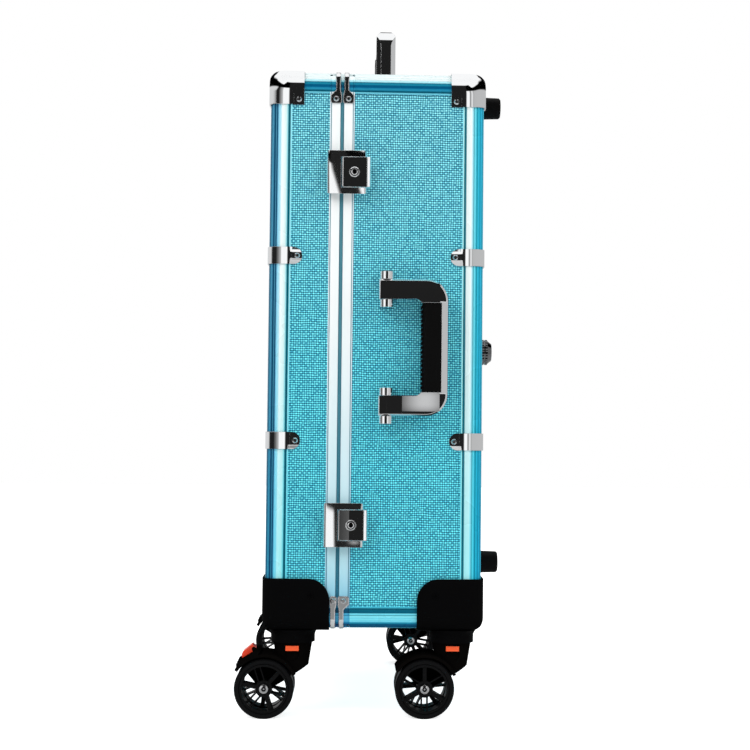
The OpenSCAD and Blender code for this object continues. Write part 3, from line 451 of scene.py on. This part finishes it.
def makeSocketHead(shape):
    # round head along Y: slightly domed, with painted shade in its socket, a painted glint on the socket's floor or a
    # painted bright ring in a keyhole
    group, given, out = newGroup(
        "socketHead",
        {"Centre X": 0, "Centre Z": 0, **shape["axle"], "Normal": (0, 0, 0)},
        ["Shade", "Normal"])
    axes = pointAxes(group)
    across = maths(group, "SUBTRACT", axes["X"], given["Centre X"])
    up = maths(group, "SUBTRACT", axes["Z"], given["Centre Z"])
    reach = maths(group, "DIVIDE", distance(group, across, up), given["Socket"])
    steps = {name: softStep(group, reach, *ends) for name, ends in shape["steps"].items()}
    opened = maths(group, "SUBTRACT", 1, steps["rim"])
    floor = maths(group, "MULTIPLY", maths(group, "SUBTRACT", 1, steps["floor"]), given["Glint"])
    ring = maths(group, "MULTIPLY", maths(group, "SUBTRACT", steps["ringInside"], steps["ringOutside"]), given["Ring"])
    # Shade is painted shade in the socket, less where the painted glint or the painted ring stays bright
    group.links.new(maths(group, "SUBTRACT", opened, maths(group, "ADD", floor, ring)), out["Shade"])
    sideways = maths(group, "MULTIPLY", across, given["Dome"])
    upwards = maths(group, "MULTIPLY", up, given["Dome"])
    addTilt(group, given, out, X=sideways, Z=upwards)
    return group


armShape = {
    "corner": 0.022,  # from the outer corner of the handle to the middle of its rounding, in metres
    "flatEnd": (0.0196, 0.0206),  # radius at which the flat front ends, in metres
    "front": (0.55, 0.70),  # how squarely the surface faces the latch side, as for the shapes below
    "blur": 0.001,
    "flatness": 12,
}


def makeArmFace(shape):
    # arms of the side handle: the flat front runs round the outer corner and leaves a narrow bevel
    group, given, out = newGroup(
        "armFace", {"Corner X": 0, "Middle Z": 0, "Half": 0.05, "Normal": (0, 0, 0)}, ["Normal"])
    axes = pointAxes(group)
    side = maths(group, "MAXIMUM", maths(group, "SUBTRACT", axes["X"], given["Corner X"]), 0)
    fromMiddle = maths(group, "ABSOLUTE", maths(group, "SUBTRACT", axes["Z"], given["Middle Z"]))
    past = maths(group, "SUBTRACT", fromMiddle, given["Half"])
    radius = distance(group, side, maths(group, "MAXIMUM", past, 0))
    inside = maths(group, "SUBTRACT", 1, softStep(group, radius, *shape["flatEnd"]))
    front = facingFront(group, given["Normal"], *shape["front"])
    corner = softStep(group, past, -shape["blur"], shape["blur"])
    weight = maths(group, "MULTIPLY", maths(group, "MULTIPLY", inside, front), corner)
    addTilt(group, given, out, Y=maths(group, "MULTIPLY", weight, -shape["flatness"]))
    return group


lobeShape = {
    "spread": 0.0936,  # from the middle of the case to the middle of a riveted end, in metres of height
    "begins": (20.5, 22),  # millimetres from the edge of the case
    "front": (0.70, 0.85),
    "roll": 125, "lean": 0.10,  # tilt for each metre above the middle of the end, and tilt of the whole end
    "lower": 0.24, "upper": 1.0,  # how much of it the lower and the upper ends get
}


def makeLobeRoll(shape, case):
    # riveted ends of the straps, pressed a little round so that their upper half catches the light
    group, given, out = newGroup(
        "lobeRoll", {"Across": 0, "Spread": shape["spread"], "Normal": (0, 0, 0)}, ["Normal"])
    height = maths(group, "SUBTRACT", pointAxes(group)["Z"], (case["low"][2] + case["high"][2]) / 2)
    half = maths(group, "SIGN", height)
    local = maths(group, "SUBTRACT", height, maths(group, "MULTIPLY", half, given["Spread"]))
    beyond = softStep(group, given["Across"], *shape["begins"])
    front = facingFront(group, given["Normal"], *shape["front"])
    tilt = maths(group, "MULTIPLY_ADD", local, shape["roll"], shape["lean"])
    middle, change = (shape["upper"] + shape["lower"]) / 2, (shape["upper"] - shape["lower"]) / 2
    lift = maths(group, "MULTIPLY", tilt, maths(group, "MULTIPLY_ADD", half, change, middle))
    addTilt(group, given, out, Z=maths(group, "MULTIPLY", maths(group, "MULTIPLY", beyond, front), lift))
    return group


leverShape = {
    "lipWidth": 0.0042, "lipTilt": 0.9, "lipBlur": 0.0003,
    "leftShare": 0.37, "leftBlur": 0.0002,  # how much of the width leans
    "lean": {"upper_latch_lever": 0.0, "lower_latch_lever": 0.185},
    "front": (0.30, 0.50),
}


def makeLeverFace(shape):
    # lever of a latch: its lip on the right looks up at the light, and its left part may lean to the right
    group, given, out = newGroup(
        "leverFace", {"Lip X": 0, "Middle X": 0, "Lip": shape["lipTilt"], "Lean": 0, "Normal": (0, 0, 0)}, ["Normal"])
    x = pointAxes(group)["X"]
    front = facingFront(group, given["Normal"], *shape["front"])
    lip = softStep(group, maths(group, "SUBTRACT", x, given["Lip X"]), -shape["lipBlur"], shape["lipBlur"])
    left = softStep(group, maths(group, "SUBTRACT", given["Middle X"], x), -shape["leftBlur"], shape["leftBlur"])
    lean = maths(group, "MULTIPLY", maths(group, "MULTIPLY", left, front), given["Lean"])
    lift = maths(group, "MULTIPLY", maths(group, "MULTIPLY", lip, front), given["Lip"])
    addTilt(group, given, out, X=lean, Z=lift)
    return group


def makePlatePillow():
    # hook plate of a latch: it rolls back at its left, its right, its top and its foot, each by its own amount
    group, given, out = newGroup(
        "platePillow",
        {"Centre X": 0, "Centre Z": 0, "Left": 15, "Right": 15, "Slant": 5, "Rise": 20, "Fall": 3, "Normal": (0, 0, 0)},
        ["Normal"])
    axes = pointAxes(group)
    x = maths(group, "SUBTRACT", axes["X"], given["Centre X"])
    z = maths(group, "SUBTRACT", axes["Z"], given["Centre Z"])
    above = maths(group, "MULTIPLY", maths(group, "MAXIMUM", z, 0), given["Rise"])
    below = maths(group, "MULTIPLY", maths(group, "MINIMUM", z, 0), given["Fall"])
    left = maths(group, "MULTIPLY", maths(group, "MINIMUM", x, 0), given["Left"])
    slant = maths(group, "MULTIPLY", z, given["Slant"])
    right = maths(group, "MULTIPLY_ADD", maths(group, "MAXIMUM", x, 0), given["Right"], slant)
    addTilt(group, given, out, X=maths(group, "ADD", left, right), Z=maths(group, "ADD", above, below))
    return group


grainShape = {
    "scale": 900, "detail": 3, "depth": 0.0002,
    "patchScale": 22, "patchDetail": 2, "patchSpread": (0.3, 0.7),  # patches in which the roughness changes
}


def makeGrain(shape):
    # fine uneven surface of moulded and plated pieces
    group, given, out = newGroup("grain", {"Scale": shape["scale"], "Low": 0.3, "High": 0.5}, ["Level", "Fine"])
    point = group.nodes.new("ShaderNodeTexCoord").outputs["Object"]
    patches = addNoise(group, point, shape["patchScale"], shape["patchDetail"])
    group.links.new(remap(group, patches, *shape["patchSpread"], given["Low"], given["High"]), out["Level"])
    group.links.new(addNoise(group, point, given["Scale"], shape["detail"]), out["Fine"])
    return group


acrossProfile = makeAcrossProfile(caseShape)
plainWeave = makePlainWeave(weaveShape)
ballNormal = makeBallNormal(caseShape)
socketHead = makeSocketHead(headShape)
armFace = makeArmFace(armShape)
lobeRoll = makeLobeRoll(lobeShape, caseShape)
leverFace = makeLeverFace(leverShape)
platePillow = makePlatePillow()
grain = makeGrain(grainShape)
print("shader groups ready")

# finishes


def useGroup(tree, group, **values):
    node = tree.nodes.new("ShaderNodeGroup")
    node.node_tree = group
    for label, value in values.items():
        node.inputs[label.replace("_", " ")].default_value = value
    return node


edgeSamples = 4


def addBump(tree, shader, height, strength, depth, rounding=0):
    bump = tree.nodes.new("ShaderNodeBump")
    bump.inputs["Strength"].default_value = strength
    bump.inputs["Distance"].default_value = depth
    tree.links.new(height, bump.inputs["Height"])
    if rounding:
        soft = tree.nodes.new("ShaderNodeBevel")
        soft.samples = edgeSamples
        soft.inputs["Radius"].default_value = rounding
        tree.links.new(soft.outputs["Normal"], bump.inputs["Normal"])
    tree.links.new(bump.outputs["Normal"], shader.inputs["Normal"])


def addSurface(tree, shader, look):
    # everything but the colour: metal, uneven roughness, grain and the rounding of the edges
    shader.inputs["Metallic"].default_value = look.get("metallic", 0)
    for key, label in (("sheen", "Sheen Weight"), ("specular", "Specular IOR Level")):
        if key in look:
            shader.inputs[label].default_value = look[key]
    low, high = look["roughness"]
    rough = useGroup(tree, grain, Scale=look.get("scale", grainShape["scale"]), Low=low, High=high)
    tree.links.new(rough.outputs["Level"], shader.inputs["Roughness"])
    addBump(tree, shader, rough.outputs["Fine"], look["bump"], grainShape["depth"], look.get("rounding", 0))


filmLook = {
    "stops": [  # from the gaps to the tops of the threads: the weave's pattern, with painted shade in the gaps and a painted highlight on the tops
        (0.10, (0.001, 0.025, 0.042)), (0.38, (0.016, 0.17, 0.25)), (0.60, (0.078, 0.43, 0.60)),
        (0.84, (0.36, 0.98, 1.0)),
    ],
    "lowShadeTint": (0.54, 1.02, 1.04, 1),  # painted shade at the bottom of the case: a factor that darkens the colour and takes red out
    "pitch": 0.0023, "unevenness": 0.20,
    "roughness": 0.42, "specular": 0.3, "bump": 0.25, "depth": 0.0003,
}


def makeFilm(look):
    mat, tree, shader = newMaterial("filmWeave")
    weave = useGroup(tree, plainWeave, Pitch=look["pitch"], Unevenness=look["unevenness"])
    # colour of the weave with painted shade in its gaps and a painted highlight on its thread tops
    colour = colourRamp(tree, weave.outputs["Tone"], look["stops"])
    where = useGroup(tree, acrossProfile).outputs
    # painted shade: the film turns darker and bluer towards the bottom of the case
    tree.links.new(tintBy(tree, where["Half Shade"], colour, look["lowShadeTint"]), shader.inputs["Base Color"])
    shader.inputs["Roughness"].default_value = look["roughness"]
    shader.inputs["Specular IOR Level"].default_value = look["specular"]
    addBump(tree, shader, weave.outputs["Height"], look["bump"], look["depth"])
    return mat


profileLook = {  # painted highlights and shade on the evenly cyan anodised profile, by millimetres from the edge of the case: white bands are painted highlights, dark lines painted shade in the grooves and before the lip, and each bar has its own set for the way the light falls on it
    "lidBars": [
        (0.0, (0.50, 0.84, 0.92)), (1.4, (0.13, 0.44, 0.60)), (3.6, (0.06, 0.32, 0.50)),
        (4.4, (0.0, 0.03, 0.10)), (5.6, (0.01, 0.14, 0.26)), (6.1, (0.10, 0.38, 0.52)), (6.6, (0.0, 0.04, 0.12)),
        (7.5, (0.0, 0.08, 0.18)), (8.2, (0.24, 0.66, 0.88)), (10.4, (0.50, 0.88, 1.0)), (11.8, (0.92, 1.0, 1.0)),
        (16.0, (0.80, 1.0, 1.0)), (17.6, (0.30, 0.78, 0.86)), (18.4, (0.004, 0.13, 0.19)), (20.2, (0.01, 0.20, 0.27)),
        (20.7, (0.34, 0.88, 1.0)),
    ],
    "bodyBars": [
        (0.0, (0.10, 0.32, 0.44)), (1.1, (0.012, 0.22, 0.36)), (2.0, (0.004, 0.20, 0.34)), (3.0, (0.05, 0.66, 0.90)),
        (4.0, (0.002, 0.24, 0.38)), (5.0, (0.03, 0.52, 0.72)), (6.0, (0.05, 0.62, 0.80)), (7.0, (0.001, 0.20, 0.30)),
        (8.0, (0.05, 0.58, 0.74)), (9.2, (0.22, 0.88, 1.0)), (10.3, (0.07, 0.46, 0.58)), (12.0, (0.55, 0.92, 1.0)),
        (13.2, (0.92, 1.0, 1.0)), (17.6, (0.84, 1.0, 1.0)), (18.4, (0.02, 0.20, 0.26)), (20.2, (0.02, 0.20, 0.27)),
        (20.7, (0.52, 1.0, 1.0)), (22.0, (0.30, 0.86, 1.0)),
    ],
    "topBars": [
        (0.0, (0.86, 0.98, 1.0)), (7.6, (0.90, 1.0, 1.0)), (8.6, (0.50, 0.90, 0.98)), (9.8, (0.42, 0.86, 0.94)),
        (10.4, (0.01, 0.22, 0.34)), (12.6, (0.01, 0.24, 0.38)), (13.4, (0.0, 0.10, 0.22)), (15.6, (0.0, 0.11, 0.24)),
        (16.4, (0.01, 0.24, 0.42)), (18.0, (0.02, 0.28, 0.46)), (18.6, (0.004, 0.15, 0.24)), (20.3, (0.01, 0.18, 0.27)),
        (20.7, (0.16, 0.62, 0.78)),
    ],
    "bottomBars": [
        (0.0, (0.0, 0.05, 0.12)), (2.4, (0.01, 0.16, 0.30)), (4.4, (0.0, 0.10, 0.22)), (5.2, (0.04, 0.36, 0.54)),
        (6.4, (0.08, 0.44, 0.62)), (7.2, (0.44, 0.86, 0.96)), (9.6, (0.56, 0.92, 1.0)), (10.0, (0.30, 0.74, 0.86)),
        (10.4, (0.56, 0.92, 1.0)), (12.8, (0.56, 0.94, 1.0)), (13.4, (0.03, 0.24, 0.34)), (14.2, (0.44, 0.88, 0.98)),
        (15.2, (0.36, 0.80, 0.92)), (15.8, (0.006, 0.13, 0.20)), (20.3, (0.01, 0.17, 0.25)), (20.8, (0.14, 0.56, 0.70)),
    ],
    "span": 24,  # millimetres that the colours cover at most
    # painted shade at the bottom of the case: a factor that darkens the colour and takes red out
    "lowShadeTint": (0.44, 0.92, 0.98, 1),
    "roughness": (0.26, 0.30), "metallic": 0.12, "specular": 0.12, "scale": 1400, "bump": 0.04, "rounding": 0.0002,
}


def makeProfile(look):
    mat, tree, shader = newMaterial("anodisedProfile")
    where = useGroup(tree, acrossProfile).outputs
    bars = ("lidBars", "bodyBars", "topBars", "bottomBars")
    # ramps of painted highlight and shade across each bar
    ramps = {name: colourRamp(tree, where["Across"], look[name], look["span"]) for name in bars}
    upright = mixColours(tree, where["Body Side"], ramps["lidBars"], ramps["bodyBars"])
    flat = mixColours(tree, where["Upper"], ramps["bottomBars"], ramps["topBars"])
    colour = mixColours(tree, where["Level Bar"], upright, flat)
    # painted shade towards the bottom of the case
    tree.links.new(tintBy(tree, where["Low Shade"], colour, look["lowShadeTint"]), shader.inputs["Base Color"])
    addSurface(tree, shader, look)
    return mat


openingLook = {
    "stops": [  # millimetres from the parting plane: painted shade makes it dark at the parting plane and in a thin line at about 11 mm
        (0.0, (0.10, 0.33, 0.42)), (1.7, (0.14, 0.42, 0.52)), (2.1, (0.94, 1.0, 1.0)),
        (9.8, (0.98, 1.0, 1.0)), (10.5, (0.90, 0.98, 1.0)), (10.8, (0.16, 0.36, 0.44)),
        (11.4, (0.18, 0.38, 0.46)), (11.7, (0.86, 0.96, 1.0)),
    ],
    "span": 14,
    "endDepth": 20.6,  # nearer to the edge of the case, the colours of the corner profiles go on, with their painted highlights and shade
    # painted shade: factors that darken the colour and take red out, low on the case and more at its foot
    "lowShadeTint": (0.50, 0.80, 0.90, 1), "footShadeTint": (0.26, 0.62, 0.80, 1),
    "roughness": (0.28, 0.32), "metallic": 0.06, "specular": 0.2, "scale": 1400, "bump": 0.04, "rounding": 0.0002,
}


def makeOpening(look, profile):
    mat, tree, shader = newMaterial("anodisedFrame")
    where = useGroup(tree, acrossProfile).outputs
    sides = colourRamp(tree, where["From Parting"], look["stops"], look["span"])
    # the ends take on the profiles' painted highlights and shade
    ends = [colourRamp(tree, where["Across"], profile[name], profile["span"]) for name in ("bottomBars", "topBars")]
    ends = mixColours(tree, where["Upper"], ends[0], ends[1])
    colour = mixColours(tree, maths(tree, "LESS_THAN", where["Across"], look["endDepth"]), sides, ends)
    # painted shade towards the bottom of the case and more at its foot
    tinted = tintBy(tree, where["Low Shade"], colour, look["lowShadeTint"])
    tree.links.new(tintBy(tree, where["Foot Shade"], tinted, look["footShadeTint"]), shader.inputs["Base Color"])
    addSurface(tree, shader, look)
    return mat


finishLooks = {
    "chrome": {
        "colour": (0.93, 0.94, 0.95), "metallic": 1, "roughness": (0.02, 0.045), "bump": 0.001, "rounding": 0.0005},
    "cornerChrome": {
        "colour": (0.93, 0.94, 0.95), "metallic": 1, "roughness": (0.02, 0.045), "bump": 0.001, "rounding": 0.0008,
        "ball": {"Depth": 0.021}},
    "strapChrome": {
        "colour": (0.93, 0.94, 0.95), "metallic": 1, "roughness": (0.02, 0.045), "bump": 0.001, "rounding": 0.0008,
        "ball": {"Depth": 0.021}, "lobes": {"Spread": lobeShape["spread"]}},
    "partingChrome": {
        "colour": (0.93, 0.94, 0.95), "metallic": 1, "roughness": (0.02, 0.045), "bump": 0.001, "rounding": 0.0016},
    "plateChrome": {
        "colour": (0.93, 0.94, 0.95), "metallic": 1, "roughness": (0.08, 0.11), "bump": 0.001, "rounding": 0.0005},
    "darkChrome": {
        "colour": (0.19, 0.195, 0.20), "metallic": 1, "roughness": (0.05, 0.09), "bump": 0.01, "rounding": 0.0003},
    "capSteel": {
        "colour": (0.58, 0.58, 0.59), "metallic": 1, "roughness": (0.12, 0.20), "bump": 0.04, "rounding": 0.0004},
    "brightSteel": {
        "colour": (0.74, 0.74, 0.75), "metallic": 1, "roughness": (0.14, 0.22), "bump": 0.03, "rounding": 0.0003},
    "zincPlate": {
        "colour": (0.56, 0.56, 0.57), "metallic": 1, "roughness": (0.25, 0.4), "bump": 0.06, "rounding": 0.0002},
    "blackNylon": {
        "colour": (0.0024, 0.0024, 0.0026), "roughness": (0.50, 0.60), "bump": 0.10, "scale": 2200,
        "rounding": 0.0008, "specular": 0.012},
    "forkNylon": {
        "colour": (0.0030, 0.0026, 0.0024), "roughness": (0.70, 0.80), "bump": 0.10, "scale": 2200,
        "rounding": 0.0008, "specular": 0},
    "blackWheel": {
        "colour": (0.0036, 0.0036, 0.004), "roughness": (0.36, 0.50), "bump": 0.06, "scale": 1600,
        "rounding": 0.0005, "specular": 0.10},
    "blackRubber": {
        "colour": (0.0034, 0.0034, 0.0034), "roughness": (0.42, 0.56), "bump": 0.12, "scale": 1800,
        "rounding": 0.0005, "specular": 0.06},
    "orangePlastic": {"colour": (0.98, 0.11, 0.02), "roughness": (0.26, 0.34), "bump": 0.02, "rounding": 0.0004},
    "redPlastic": {"colour": (1.0, 0.065, 0.016), "roughness": (0.26, 0.34), "bump": 0.02, "rounding": 0.0005},
    "liningCloth": {
        "colour": (0.016, 0.016, 0.018), "roughness": (0.8, 0.95), "bump": 0.5, "scale": 1200, "sheen": 0.3},
    "dividerCloth": {
        "colour": (0.022, 0.022, 0.025), "roughness": (0.75, 0.9), "bump": 0.4, "scale": 1000, "sheen": 0.3},
    "mirrorGlass": {"colour": (0.90, 0.92, 0.92), "metallic": 1, "roughness": (0.0, 0.02), "bump": 0.0},
}


def makeSolid(name, look):
    mat, tree, shader = newMaterial(name)
    colour = (*look["colour"], 1)
    shader.inputs["Base Color"].default_value = colour
    addSurface(tree, shader, look)
    bends = {"pillow": platePillow, "lever": leverFace, "socket": socketHead, "arms": armFace, "ball": ballNormal,
             "lobes": lobeRoll}  # lobes come after ball, which makes the normal anew
    for kind, group in bends.items():
        if kind not in look:
            continue
        bend = useGroup(tree, group, **look[kind])
        tree.links.new(shader.inputs["Normal"].links[0].from_socket, bend.inputs["Normal"])
        tree.links.new(bend.outputs["Normal"], shader.inputs["Normal"])
        if kind == "socket":
            # painted shade in the socket, with a painted glint or a painted ring left bright
            shaded = mixColours(tree, bend.outputs["Shade"], colour, headShape["dark"])
            tree.links.new(shaded, shader.inputs["Base Color"])
        if kind == "lobes":
            tree.links.new(useGroup(tree, acrossProfile).outputs["Across"], bend.inputs["Across"])
    return mat


slotLooks = {
    "lining": "liningCloth", "divider_board": "dividerCloth", "mirror": "mirrorGlass",
    "chrome": "chrome", "bright_steel": "brightSteel", "latch_steel": "zincPlate",
    "black_nylon": "blackNylon", "black_wheel": "blackWheel", "black_rubber": "blackRubber",
    "orange_plastic": "orangePlastic", "red_plastic": "redPlastic",
}
endingLooks = {  # by the end of the node's name, in place of the look of its slot
    "back_knob": "darkChrome", "ball_corners": "cornerChrome", "parting_corners": "partingChrome",
    "straps": "strapChrome", "_fork": "forkNylon",
}
plateRolls = {
    "upper_latch_hook": {
        "Centre_X": -0.0310, "Centre_Z": 0.5515, "Left": 15.5, "Right": 15.5, "Slant": 5, "Rise": 20, "Fall": 0.5},
    "lower_latch_hook": {
        "Centre_X": -0.0280, "Centre_Z": 0.1600, "Left": 23, "Right": 3, "Slant": 0.8, "Rise": 6, "Fall": 0.5},
}

slotFinishes, endingFinishes = (
    {key: makeSolid(look, finishLooks[look]) for key, look in looks.items()} for looks in (slotLooks, endingLooks))
slotFinishes["panel_film"] = makeFilm(filmLook)
slotFinishes["anodised_profile"] = makeProfile(profileLook)
slotFinishes["anodised_frame"] = makeOpening(openingLook, profileLook)


def chooseFinish(name, slot, low, high):
    # some pieces have a material of their own, because their reflections depend on where they lie
    chrome = finishLooks["chrome"]
    middle = {"Centre_X": (low.x + high.x) / 2, "Centre_Z": (low.z + high.z) / 2}
    for ending, finish in endingFinishes.items():
        if name.endswith(ending):
            return finish
    if name in plateRolls:
        return makeSolid(name, {**finishLooks["plateChrome"], "pillow": plateRolls[name]})
    if name in leverShape["lean"]:
        split = low.x + leverShape["leftShare"] * (high.x - low.x)
        lever = {"Lip_X": high.x - leverShape["lipWidth"], "Middle_X": split, "Lean": leverShape["lean"][name]}
        return makeSolid(name, {**chrome, "lever": lever})
    if name.endswith("_axle"):
        return makeSolid(name, {**finishLooks["capSteel"], "socket": {**middle, **headShape["axle"]}})
    if name.endswith("key_barrel"):
        return makeSolid(name, {**chrome, "socket": {**middle, **headShape["keyhole"]}})
    if name == "side_handle":
        corner = armShape["corner"]
        arms = {"Corner_X": high.x - corner, "Middle_Z": middle["Centre_Z"], "Half": (high.z - low.z) / 2 - corner}
        return makeSolid("handleChrome", {**chrome, "arms": arms})
    return slotFinishes[slot]


for part in frame["record"]["subparts"]:
    obj = nodes[part["node"]]
    corners = [Vector(corner) for corner in obj.bound_box]
    low, high = (Vector([pick(c[axis] for c in corners) for axis in range(3)]) for pick in (min, max))
    obj.data.materials.clear()
    obj.data.materials.append(chooseFinish(part["node"], part["material_slot"], low, high))
print("finishes assigned to", len(nodes), "nodes")
